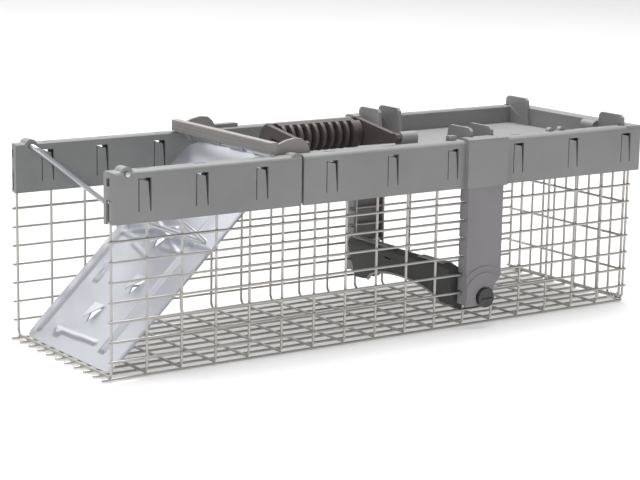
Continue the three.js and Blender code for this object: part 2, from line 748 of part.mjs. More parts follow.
// ---------- the assembly ----------
add("floor_mesh", floorMesh(), zincWire);
sides.forEach(([name, side]) => add(name + "_side_mesh", sideMesh(side), zincWire));
add("rear_mesh", rearMesh(), zincWire);
sides.forEach(([name, side]) => add(name + "_corner_clip", cornerClip(side), zincSheet));
sides.forEach(([name, side]) => add(name + "_front_rail", frontRail(side), greyPlastic));
add("top_frame", topFrame(), greyPlastic);
sides.forEach(([name, side]) => add(name + "_column", column(side), greyPlastic));
add("door_panel", doorPanel(), zincSheet);
add("door_hinge_rod", hingeRod(), brightWire);
add("set_lever", setLever(), leverPlastic);
add("lock_bail", lockBail(), brightWire);
add("treadle", treadle(), treadlePlastic);
sides.forEach(([name, side]) => add(name + "_pivot_knob", pivotKnob(side), darkPlastic));
add("trigger_link", triggerLink(), zincSheet);
add("latch_rocker", latchRocker(), zincSheet);
add("rocker_pin", rockerPin(), brightWire);
add("latch_rod", latchRod(), brightWire);
add("carry_handle", handle(), handlePlastic);

export default trap;
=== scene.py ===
"""Looks of a single-door live catch trap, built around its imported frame.

Every class works in millimetres and its finished meshes are in metres, in the frame's axes:
+X runs from the door to the rear, +Z is up and the near side is -Y.
"""

import json
import logging
import math
from dataclasses import dataclass
from enum import Enum
from typing import Iterable, Sequence

import bmesh
import bpy
from bmesh.types import BMEdge, BMFace, BMVert
from mathutils import Matrix, Vector


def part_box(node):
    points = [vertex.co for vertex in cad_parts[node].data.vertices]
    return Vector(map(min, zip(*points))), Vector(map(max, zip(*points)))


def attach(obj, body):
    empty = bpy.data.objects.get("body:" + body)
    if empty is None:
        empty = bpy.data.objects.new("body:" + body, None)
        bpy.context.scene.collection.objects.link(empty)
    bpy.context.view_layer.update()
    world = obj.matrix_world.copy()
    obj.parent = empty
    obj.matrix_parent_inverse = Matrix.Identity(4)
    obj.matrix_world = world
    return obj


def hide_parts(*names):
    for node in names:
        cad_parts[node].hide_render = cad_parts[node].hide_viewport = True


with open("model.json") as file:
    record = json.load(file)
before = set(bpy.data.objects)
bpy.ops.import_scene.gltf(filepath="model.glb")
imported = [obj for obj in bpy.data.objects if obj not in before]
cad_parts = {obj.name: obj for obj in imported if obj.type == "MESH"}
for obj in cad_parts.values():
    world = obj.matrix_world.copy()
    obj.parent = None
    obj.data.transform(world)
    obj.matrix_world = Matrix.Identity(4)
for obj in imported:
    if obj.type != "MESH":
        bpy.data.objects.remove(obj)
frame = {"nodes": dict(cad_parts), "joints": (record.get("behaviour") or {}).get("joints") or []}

MM = 0.001
SIDES = (("near", -1), ("far", 1))
log = logging.getLogger("trap")

Point = tuple[float, float, float]
Colour = tuple[float, float, float, float]

# Working values of the bench tools, in millimetres, degrees and plain ratios.
ROUND_STEPS = 2  # faces across a rounded edge
BEND_STEP = 0.26  # radians of a wire's bend that one step takes
CAP_INSET = 0.4  # chamfer of a wire's end, in wire radii
CAP_RISE = 0.25  # height of that chamfer, in wire radii
MERGE = 1e-4  # points of one lathed shape closer than this become one
TINY = 1e-6
COPY_MERGE = 0.004  # the same for a shape taken from the frame
FLAT_ANGLE = 1.2  # faces of a copy that turn less than this are joined
SHARP_ANGLE = 34.0  # edges of a copy that turn more than this are rounded


# ---------------------------------------------------------------- finishes
class Surface(Enum):
    """The kinds of surface that the trap has."""

    WIRE = "galvanised wire"
    SHEET = "galvanised sheet"
    MOULDED = "moulded plastic"


@dataclass(frozen=True)
class Pattern:
    """Scales of one kind of surface, in features per metre, its metalness and its specular level."""

    broad: float
    fine: float
    metal: float
    specular: float


PATTERNS = {
    Surface.WIRE: Pattern(broad=60.0, fine=900.0, metal=1.0, specular=0.5),
    Surface.SHEET: Pattern(broad=14.0, fine=420.0, metal=0.92, specular=0.5),
    Surface.MOULDED: Pattern(broad=22.0, fine=1500.0, metal=0.0, specular=0.45),
}


@dataclass(frozen=True)
class Weathering:
    """How strongly surfaces vary. Ratios are over the finish's or the pattern's own value."""

    glint: float = 1.6  # grazing tint of a wire
    broad_detail: float = 4.0
    fine_detail: float = 3.0
    gloss_detail: float = 5.0
    gloss_scale: float = 2.7
    gloss_low: float = 0.82
    gloss_high: float = 1.2
    relief: float = 0.5  # strength of the fine grain
    wave_relief: float = 0.6  # strength, height, scale and detail of a sheet's waves
    wave_height: float = 0.9
    wave_scale: float = 30.0
    wave_detail: float = 1.0
    spangle_scale: float = 160.0  # zinc crystals per metre, and their share of the colour
    spangle_share: float = 0.3
    ramp_low: float = 0.32  # stretch of a noise that the colours run over
    ramp_high: float = 0.68


WEATHER = Weathering()


@dataclass(frozen=True)
class Finish:
    """One material of the trap, with the detail that its surface shows."""

    name: str
    slot: str
    surface: Surface
    tint: tuple[float, float, float]
    roughness: float
    mottle: float
    grain: float

    def material(self) -> bpy.types.Material:
        """Returns the Blender material, made once and then reused."""
        made = bpy.data.materials.get(self.name)
        return made or self._build()

    def _build(self) -> bpy.types.Material:
        """Builds the node tree: wandering colour, uneven gloss and a fine relief.

        Returns:
            The new material.
        """
        pattern = PATTERNS[self.surface]
        material = bpy.data.materials.new(self.name)
        material.use_nodes = True
        tree = material.node_tree
        shader = tree.nodes["Principled BSDF"]
        shader.inputs["Metallic"].default_value = pattern.metal
        shader.inputs["Specular IOR Level"].default_value = pattern.specular
        if self.surface is Surface.WIRE:
            shader.inputs["Specular Tint"].default_value = self._shade(WEATHER.glint)
        place = tree.nodes.new("ShaderNodeTexCoord").outputs["Object"]
        broad = self._noise(tree, place, pattern.broad, WEATHER.broad_detail)
        fine = self._noise(tree, place, pattern.fine, WEATHER.fine_detail)
        value = self._spangle(tree, place, broad) if self.surface is Surface.SHEET else broad
        colour = self._mix(tree, value, self._shade(1 - self.mottle), self._shade(1 + self.mottle))
        tree.links.new(colour, shader.inputs["Base Color"])
        gloss = tree.nodes.new("ShaderNodeMapRange")
        gloss.inputs["To Min"].default_value = self.roughness * WEATHER.gloss_low
        gloss.inputs["To Max"].default_value = self.roughness * WEATHER.gloss_high
        uneven = self._noise(tree, place, pattern.broad * WEATHER.gloss_scale, WEATHER.gloss_detail)
        tree.links.new(uneven, gloss.inputs["Value"])
        tree.links.new(gloss.outputs["Result"], shader.inputs["Roughness"])
        bump = self._bump(tree, fine, WEATHER.relief, self.grain)
        if self.surface is Surface.SHEET:
            swell = self._noise(tree, place, WEATHER.wave_scale, WEATHER.wave_detail)
            waves = self._bump(tree, swell, WEATHER.wave_relief, WEATHER.wave_height)
            tree.links.new(waves.outputs["Normal"], bump.inputs["Normal"])
        tree.links.new(bump.outputs["Normal"], shader.inputs["Normal"])
        return material

    def _shade(self, factor: float) -> Colour:
        """Returns the tint, lighter or darker by a factor."""
        red, green, blue = (min(1.0, channel * factor) for channel in self.tint)
        return red, green, blue, 1.0

    @staticmethod
    def _bump(
        tree: bpy.types.NodeTree, height: bpy.types.NodeSocket, strength: float, depth: float
    ) -> bpy.types.Node:
        """Adds a relief.

        Args:
            tree: The material's node tree.
            height: The socket with its height.
            strength: How strongly it bends the light.
            depth: Its full height, in millimetres.

        Returns:
            The bump node.
        """
        bump = tree.nodes.new("ShaderNodeBump")
        bump.inputs["Strength"].default_value = strength
        bump.inputs["Distance"].default_value = depth * MM
        tree.links.new(height, bump.inputs["Height"])
        return bump

    @staticmethod
    def _noise(
        tree: bpy.types.NodeTree, place: bpy.types.NodeSocket, scale: float, detail: float
    ) -> bpy.types.NodeSocket:
        """Adds a noise texture.

        Args:
            tree: The material's node tree.
            place: The coordinates that it reads.
            scale: Features per metre.
            detail: Octaves of finer noise.

        Returns:
            The socket with its value.
        """
        noise = tree.nodes.new("ShaderNodeTexNoise")
        noise.inputs["Scale"].default_value = scale
        noise.inputs["Detail"].default_value = detail
        tree.links.new(place, noise.inputs["Vector"])
        return noise.outputs["Fac"]

    @staticmethod
    def _spangle(
        tree: bpy.types.NodeTree, place: bpy.types.NodeSocket, broad: bpy.types.NodeSocket
    ) -> bpy.types.NodeSocket:
        """Mixes the crystal pattern of a zinc coat into a broad noise.

        Args:
            tree: The material's node tree.
            place: The coordinates that it reads.
            broad: The broad noise.

        Returns:
            The socket with the mixed value.
        """
        cells = tree.nodes.new("ShaderNodeTexVoronoi")
        cells.inputs["Scale"].default_value = WEATHER.spangle_scale
        tree.links.new(place, cells.inputs["Vector"])
        grey = tree.nodes.new("ShaderNodeSeparateColor")
        tree.links.new(cells.outputs["Color"], grey.inputs["Color"])
        blend = tree.nodes.new("ShaderNodeMix")
        blend.inputs["Factor"].default_value = WEATHER.spangle_share
        tree.links.new(broad, blend.inputs["A"])
        tree.links.new(grey.outputs["Red"], blend.inputs["B"])
        return blend.outputs["Result"]

    @staticmethod
    def _mix(
        tree: bpy.types.NodeTree, value: bpy.types.NodeSocket, dark: Colour, light: Colour
    ) -> bpy.types.NodeSocket:
        """Adds a ramp of colour over the middle of a noise.

        Args:
            tree: The material's node tree.
            value: The socket with the noise.
            dark: Colour of its low stretches.
            light: Colour of its high stretches.

        Returns:
            The socket with the colour.
        """
        ramp = tree.nodes.new("ShaderNodeValToRGB")
        first, last = ramp.color_ramp.elements
        first.position, first.color = WEATHER.ramp_low, dark
        last.position, last.color = WEATHER.ramp_high, light
        tree.links.new(value, ramp.inputs["Fac"])
        return ramp.outputs["Color"]


CAGE_WIRE = Finish("zinc_wire", "zinc_wire", Surface.WIRE, (0.27, 0.262, 0.254), 0.24, 0.34, 0.03)
ROUND_WIRE = Finish("bright_wire", "bright_wire", Surface.WIRE, (0.8, 0.8, 0.8), 0.26, 0.12, 0.02)
SHEET = Finish("zinc_sheet", "zinc_sheet", Surface.SHEET, (0.70, 0.685, 0.70), 0.36, 0.07, 0.015)
RAIL = Finish("rail_plastic", "grey_plastic", Surface.MOULDED, (0.262, 0.266, 0.262), 0.42, 0.07, 0.05)
# The columns' plastic is the rail's grey made darker: painted shade where they sit tucked in under the
# rail.
SHADED_COLUMN = Finish("column_plastic_painted_shade", "grey_plastic", Surface.MOULDED, (0.24, 0.23, 0.242), 0.42, 0.07, 0.05)
LEVER = Finish("lever_plastic", "lever_plastic", Surface.MOULDED, (0.44, 0.427, 0.407), 0.45, 0.06, 0.05)
GRIP = Finish("grip_plastic", "handle_plastic", Surface.MOULDED, (0.105, 0.09, 0.089), 0.42, 0.1, 0.06)
TREAD = Finish("treadle_plastic", "treadle_plastic", Surface.MOULDED, (0.2, 0.2, 0.19), 0.24, 0.12, 0.04)
# The treadle plastic made lighter: painted highlight on the crest lips, the arch rim and the leg.
EDGE = Finish("edge_plastic_painted_highlight", "treadle_plastic", Surface.MOULDED, (0.36, 0.36, 0.35), 0.36, 0.1, 0.04)
RING = Finish("ring_zinc", "zinc_sheet", Surface.WIRE, (0.8, 0.8, 0.8), 0.3, 0.12, 0.02)
DARK = Finish("knob_plastic", "dark_plastic", Surface.MOULDED, (0.045, 0.042, 0.045), 0.26, 0.14, 0.03)


# ---------------------------------------------------------------- bench tools
def box_mm(node: str) -> tuple[Vector, Vector]:
    """Returns the lowest and highest corners of a frame node, in millimetres."""
    low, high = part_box(node)
    return low / MM, high / MM


def pivot_mm(joint: str) -> Vector:
    """Returns a point on a joint's axis, in millimetres."""
    row = next(item for item in frame["joints"] if item["name"] == joint)
    return Vector(row["pos_m"]) / MM


def turn_to(direction: Vector) -> Matrix:
    """Returns the rotation that takes +Z to a direction."""
    return direction.to_track_quat("Z", "Y").to_matrix().to_4x4()


def lay_across(at: Sequence[float] = (0, 0, 0)) -> Matrix:
    """Returns the placement that lays local +Z across the trap, along Y, at a point."""
    return Matrix.Translation(at) @ Matrix.Rotation(-math.pi / 2, 4, "X")


class Workpiece:
    """A mesh on the bench, in millimetres, that becomes one finished object."""

    def __init__(self) -> None:
        """Starts with an empty mesh."""
        self.bm = bmesh.new()

    # ---- shapes
    def wire(self, points: Sequence[Point], radius: float, bend: float = 0.0, sides: int = 10) -> None:
        """Bends a round wire through corner points.

        Args:
            points: The ends and corners of its centre line.
            radius: Radius of the wire.
            bend: Radius of each bend's centre line.
            sides: Sides of its section.
        """
        path = [Vector(point) for point in points]
        ways = [(b - a).normalized() for a, b in zip(path, path[1:])]
        first = bmesh.ops.create_circle(
            self.bm,
            radius=radius,
            segments=sides,
            matrix=Matrix.Translation(path[0]) @ turn_to(ways[0]),
        )["verts"]
        loop = list({edge for vert in first for edge in vert.link_edges})
        ends = [loop]
        made: set[BMFace] = set()
        here = path[0]
        for index, way in enumerate(ways):
            corner = path[index + 1]
            last = index == len(ways) - 1
            angle = 0.0 if last else way.angle(ways[index + 1])
            back = bend * math.tan(angle / 2)
            loop, here, faces = self._run(loop, here, corner - way * back)
            made |= faces
            if not last:
                axis = way.cross(ways[index + 1]).normalized()
                loop, faces = self._bend(loop, here + axis.cross(way) * bend, axis, angle)
                made |= faces
                here = corner + ways[index + 1] * back
        ends.append(loop)
        caps = [face for end in ends for face in bmesh.ops.edgeloop_fill(self.bm, edges=end)["faces"]]
        bmesh.ops.recalc_face_normals(self.bm, faces=list(made) + caps)
        bmesh.ops.inset_individual(
            self.bm, faces=caps, thickness=radius * CAP_INSET, depth=radius * CAP_RISE
        )

    def _run(
        self, loop: list[BMEdge], start: Vector, end: Vector
    ) -> tuple[list[BMEdge], Vector, set[BMFace]]:
        """Pulls a ring of edges straight on.

        Args:
            loop: The ring.
            start: The middle of the ring.
            end: Where the middle goes.

        Returns:
            The new ring, its middle and the new faces.
        """
        made = bmesh.ops.extrude_edge_only(self.bm, edges=loop)["geom"]
        verts = [item for item in made if isinstance(item, BMVert)]
        bmesh.ops.translate(self.bm, verts=verts, vec=end - start)
        ring = [
            edge
            for edge in made
            if isinstance(edge, BMEdge) and all(vert in verts for vert in edge.verts)
        ]
        return ring, end, {item for item in made if isinstance(item, BMFace)}

    def _bend(
        self, loop: list[BMEdge], centre: Vector, axis: Vector, angle: float
    ) -> tuple[list[BMEdge], set[BMFace]]:
        """Turns a ring of edges about an axis.

        Args:
            loop: The ring.
            centre: A point on the axis.
            axis: Direction of the axis.
            angle: How far the ring turns, in radians.

        Returns:
            The last ring and the new faces.
        """
        verts = list({vert for edge in loop for vert in edge.verts})
        before = set(self.bm.faces)
        last = bmesh.ops.spin(
            self.bm,
            geom=verts + loop,
            cent=centre,
            axis=axis,
            angle=angle,
            steps=max(2, math.ceil(angle / BEND_STEP)),
        )["geom_last"]
        return [item for item in last if isinstance(item, BMEdge)], set(self.bm.faces) - before

    def slab(self, low: Vector, high: Vector, soft: float) -> list[BMVert]:
        """Adds a block between two corners.

        Args:
            low: Its lowest corner.
            high: Its highest corner.
            soft: Rounding of its edges.

        Returns:
            The block's vertices.
        """
        place = Matrix.Translation((low + high) / 2) @ Matrix.Diagonal((*(high - low), 1))
        verts = bmesh.ops.create_cube(self.bm, size=1.0, matrix=place)["verts"]
        return self._soften({edge for vert in verts for edge in vert.link_edges}, soft)

    def plate(
        self, outline: Sequence[tuple[float, float]], plane: str, limits: tuple[float, float], soft: float
    ) -> list[BMVert]:
        """Adds an outline drawn in a plane, drawn out between two limits of the third axis.

        Args:
            outline: Its corners.
            plane: The two axes that the outline is drawn on.
            limits: Where the solid starts and ends on the third axis.
            soft: Rounding of its edges.

        Returns:
            The solid's vertices.
        """
        axes = ["XYZ".index(letter) for letter in plane]
        depth = 3 - sum(axes)
        corners = []
        for a, b in outline:
            point = [0.0, 0.0, 0.0]
            point[axes[0]], point[axes[1]], point[depth] = a, b, limits[0]
            corners.append(self.bm.verts.new(point))
        face = self.bm.faces.new(corners)
        made = bmesh.ops.extrude_face_region(self.bm, geom=[face])["geom"]
        top = [item for item in made if isinstance(item, BMVert)]
        step = Vector((0, 0, 0))
        step[depth] = limits[1] - limits[0]
        bmesh.ops.translate(self.bm, verts=top, vec=step)
        verts = corners + top
        bmesh.ops.recalc_face_normals(self.bm, faces=list({f for v in verts for f in v.link_faces}))
        return self._soften({edge for vert in verts for edge in vert.link_edges}, soft)

    def lathe(
        self, profile: Sequence[tuple[float, float]], place: Matrix, sides: int, sweep: float = math.tau
    ) -> None:
        """Spins a closed or pole-to-pole profile about local Z.

        Args:
            profile: Pairs of radius and height.
            place: Placement of the local axes.
            sides: Steps of the spin.
            sweep: How far it turns, in radians.
        """
        before = set(self.bm.verts)
        ring = [self.bm.verts.new((radius, 0.0, height)) for radius, height in profile]
        full = sweep >= math.tau - TINY
        pairs = list(zip(ring, ring[1:]))
        if min(radius for radius, _ in profile) > TINY:
            pairs.append((ring[-1], ring[0]))
        edges = [self.bm.edges.new(pair) for pair in pairs]
        bmesh.ops.spin(
            self.bm, geom=ring + edges, cent=(0, 0, 0), axis=(0, 0, 1), angle=sweep,
            steps=sides, use_merge=full,
        )
        verts = [vert for vert in self.bm.verts if vert not in before]
        bmesh.ops.remove_doubles(self.bm, verts=verts, dist=MERGE)
        verts = [vert for vert in self.bm.verts if vert not in before]
        if not full:
            rim = [e for e in {e for v in verts for e in v.link_edges} if e.is_boundary]
            bmesh.ops.holes_fill(self.bm, edges=rim, sides=0)
        bmesh.ops.recalc_face_normals(self.bm, faces=list({f for v in verts for f in v.link_faces}))
        bmesh.ops.transform(self.bm, matrix=place, verts=verts)

    def _soften(self, edges: Iterable[BMEdge], soft: float) -> list[BMVert]:
        """Rounds the edges of one shell.

        Args:
            edges: The edges.
            soft: Their rounding.

        Returns:
            Every vertex of the shell.
        """
        edges = list(edges)
        seed = edges[0].verts[0]
        if soft > 0:
            made = bmesh.ops.bevel(
                self.bm, geom=edges, offset=soft, segments=ROUND_STEPS, profile=0.5,
                affect="EDGES", material=-1, clamp_overlap=True,
            )
            seed = made["verts"][0] if made["verts"] else seed
        return self._shell(seed)

    @staticmethod
    def _shell(seed: BMVert) -> list[BMVert]:
        """Collects the vertices of one shell.

        Args:
            seed: One of its vertices.

        Returns:
            Every vertex that is joined to seed through edges.
        """
        found, queue = {seed}, [seed]
        while queue:
            for edge in queue.pop().link_edges:
                for vert in edge.verts:
                    if vert not in found:
                        found.add(vert)
                        queue.append(vert)
        return list(found)

    def copy_node(self, node: str, soft: float) -> None:
        """Takes a frame node's shape, merges it and rounds its sharp edges.

        Args:
            node: The frame node.
            soft: Rounding of each sharp edge.
        """
        self.bm.from_mesh(frame["nodes"][node].data)
        bmesh.ops.scale(self.bm, vec=(1 / MM,) * 3, verts=self.bm.verts)
        bmesh.ops.remove_doubles(self.bm, verts=self.bm.verts, dist=COPY_MERGE)
        bmesh.ops.dissolve_limit(
            self.bm, angle_limit=math.radians(FLAT_ANGLE), verts=self.bm.verts, edges=self.bm.edges
        )
        sharp = [
            edge
            for edge in self.bm.edges
            if edge.is_manifold and edge.calc_face_angle() > math.radians(SHARP_ANGLE)
        ]
        bmesh.ops.bevel(
            self.bm, geom=sharp, offset=soft, segments=ROUND_STEPS, profile=0.5, affect="EDGES",
            material=-1, clamp_overlap=True,
        )

    # ---- hand-over
    def finish(
        self, name: str, body: str, finish: Finish, replaces: Sequence[str] = (), crease: float = 42.0
    ) -> bpy.types.Object:
        """Makes the object, dresses it and hangs it on its body.

        Args:
            name: Name of the piece.
            body: The frame body that it moves with.
            finish: Its material.
            replaces: Frame nodes that it stands for.
            crease: Edges turned more than this many degrees stay sharp.

        Returns:
            The finished object.
        """
        bmesh.ops.scale(self.bm, vec=(MM,) * 3, verts=self.bm.verts)
        for face in self.bm.faces:
            face.smooth = True
        for edge in self.bm.edges:
            edge.smooth = len(edge.link_faces) == 2 and edge.calc_face_angle() < math.radians(crease)
        mesh = bpy.data.meshes.new(name)
        self.bm.to_mesh(mesh)
        self.bm.free()
        mesh.materials.append(finish.material())
        piece = bpy.data.objects.new(name, mesh)
        bpy.context.scene.collection.objects.link(piece)
        even = piece.modifiers.new("even_shading", "WEIGHTED_NORMAL")
        even.keep_sharp = True
        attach(piece, body)
        if replaces:
            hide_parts(*replaces)
        log.info("%s: %d faces on %s", name, len(mesh.polygons), body)
        return piece


def refine(node: str, body: str, finish: Finish, soft: float) -> bpy.types.Object:
    """Stands a finely rounded copy of a frame node in its place.

    Args:
        node: The frame node.
        body: The frame body that it moves with.
        finish: Its material.
        soft: Rounding of its sharp edges.

    Returns:
        The finished object.
    """
    piece = Workpiece()
    piece.copy_node(node, soft)
    return piece.finish(node + "_skin", body, finish, [node])


# ---------------------------------------------------------------- wire cage
@dataclass
class Cage:
    """The folded wire sheet of the floor and sides, and the rear wall clipped to it."""

    cross_wires: int = 18
    big_pitch: float = 25.4
    small_pitch: float = 12.7
    radius: float = 0.9
    layer: float = 1.6
    bend: float = 4.4
    floor_rows: int = 4
    side_rows: int = 9
    bend_wire: float = 62.9
    nugget: float = 1.25  # size of a weld, in wire radii
    ring_wire: float = 1.0
    ring_turn: float = 338.0
    ring_steps: int = 20
    ring_sides: int = 8
    wraps: int = 3
    rear_levels: int = 4

    def build(self) -> None:
        """Builds the sheet, the rear wall and the clips."""
        self.sheet()
        self.rear_wall()
        for name, _ in SIDES:
            self.clip(name)

    def cross_places(self) -> list[float]:
        """Returns the X of each cross wire."""
        middle = (self.cross_wires - 1) / 2
        return [(index - middle) * self.big_pitch for index in range(self.cross_wires)]

    def floor_places(self) -> list[float]:
        """Returns the Y of each lengthwise wire of the floor."""
        rows = range(-self.floor_rows, self.floor_rows + 1)
        return [-self.bend_wire, *(row * self.small_pitch for row in rows), self.bend_wire]

    def sheet(self) -> None:
        """Builds the folded sheet: U-shaped cross wires with lengthwise wires outside them."""
        low, high = box_mm("floor_mesh")
        side_low, side_high = box_mm("far_side_mesh")
        outer = side_high.y - self.radius
        inner = outer - self.layer
        floor_low = low.z + self.radius
        floor_high = floor_low + self.layer
        piece = Workpiece()
        top = side_high.z
        corners = [(-inner, top), (-inner, floor_high), (inner, floor_high), (inner, top)]
        for x in self.cross_places():
            piece.wire([(x, y, z) for y, z in corners], self.radius, self.bend)
        rows = [row * self.small_pitch for row in range(1, self.side_rows + 1)]
        for _, side in SIDES:
            for z in rows:
                ends = [(x, side * outer, z) for x in (side_low.x, side_high.x)]
                piece.wire(ends, self.radius)
        for y in self.floor_places():
            piece.wire([(x, y, floor_low) for x in (low.x, high.x)], self.radius)
        for x in self.cross_places():
            for y in self.floor_places():
                self.weld(piece, (x, y, floor_low + self.layer / 2))
            for _, side in SIDES:
                for z in rows:
                    self.weld(piece, (x, side * (outer - self.layer / 2), z))
        piece.finish("cage_sheet", "frame", CAGE_WIRE, ["floor_mesh", "near_side_mesh", "far_side_mesh"])

    def weld(self, piece: Workpiece, at: Point) -> None:
        """Adds the small nugget where two wires are welded.

        Args:
            piece: The mesh that holds the wires.
            at: The middle of the weld.
        """
        size = self.radius * self.nugget
        bmesh.ops.create_icosphere(
            piece.bm, subdivisions=1, radius=size, matrix=Matrix.Translation(at)
        )

    def rear_wall(self) -> None:
        """Builds the rear wall: uprights with wide-spaced level wires in front of them."""
        low, high = box_mm("rear_mesh")
        upright = high.x - self.radius
        level = upright - self.layer
        rows = [low.z + self.radius]
        rows += [row * self.big_pitch for row in range(1, self.rear_levels + 1)]
        piece = Workpiece()
        for y in self.floor_places():
            piece.wire([(upright, y, low.z), (upright, y, high.z)], self.radius)
        for z in rows:
            piece.wire([(level, low.y, z), (level, high.y, z)], self.radius)
            for y in self.floor_places():
                self.weld(piece, (upright - self.layer / 2, y, z))
        piece.finish("rear_wall", "frame", CAGE_WIRE, ["rear_mesh"])

    def clip(self, name: str) -> None:
        """Builds the rings that tie the rear wall to the last floor wire on one side.

        Args:
            name: The side's name.
        """
        low, high = box_mm(name + "_corner_clip")
        wire = self.ring_wire
        middle = (low + high) / 2
        ring = (high.z - low.z) / 2 - wire
        piece = Workpiece()
        for wrap in range(self.wraps):
            y = low.y + wire + wrap * (high.y - low.y - 2 * wire) / (self.wraps - 1)
            section = [
                (ring + wire * math.cos(turn), wire * math.sin(turn))
                for turn in (step * math.tau / self.ring_sides for step in range(self.ring_sides))
            ]
            place = lay_across((middle.x, y, middle.z))
            piece.lathe(section, place, self.ring_steps, math.radians(self.ring_turn))
        piece.finish(name + "_rear_ring", "frame", RING, [name + "_corner_clip"])


# ---------------------------------------------------------------- moulded top
@dataclass
class MouldedTop:
    """The plastic top: front rails, top frame and the two columns of the treadle."""

    soft: float = 0.45

    def build(self) -> None:
        """Builds every moulded piece that doesn't move."""
        for name, _ in SIDES:
            refine(name + "_front_rail", "frame", RAIL, self.soft)
            # The columns get the darker copy of the rail plastic: painted shade.
            refine(name + "_column", "frame", SHADED_COLUMN, self.soft)
        refine("top_frame", "frame", RAIL, self.soft)


# ---------------------------------------------------------------- door
@dataclass(frozen=True)
class Bead:
    """A straight stiffening bead pressed into the door, in door coordinates."""

    start: tuple[float, float]
    end: tuple[float, float]
    width: float = 4.6
    height: float = 1.1
    flat: float = 0.35

    def rise(self, u: float, v: float) -> float:
        """Finds how far the sheet stands out at a point of the door.

        Args:
            u: Distance from the hinge.
            v: Distance across from the middle.

        Returns:
            The height of the bead there.
        """
        a, b, p = Vector(self.start), Vector(self.end), Vector((u, v))
        way = b - a
        share = min(1.0, max(0.0, (p - a).dot(way) / way.length_squared))
        away = (p - (a + way * share)).length / (self.width / 2)
        if away >= 1.0:
            return 0.0
        slope = max(0.0, (away - self.flat) / (1 - self.flat))
        return self.height * (0.5 + 0.5 * math.cos(math.pi * slope))


@dataclass(frozen=True)
class Lance:
    """A three-cornered tongue sheared from the door and bent out."""

    u: float
    v: float
    length: float = 15.0
    width: float = 13.0
    lift: float = 4.2


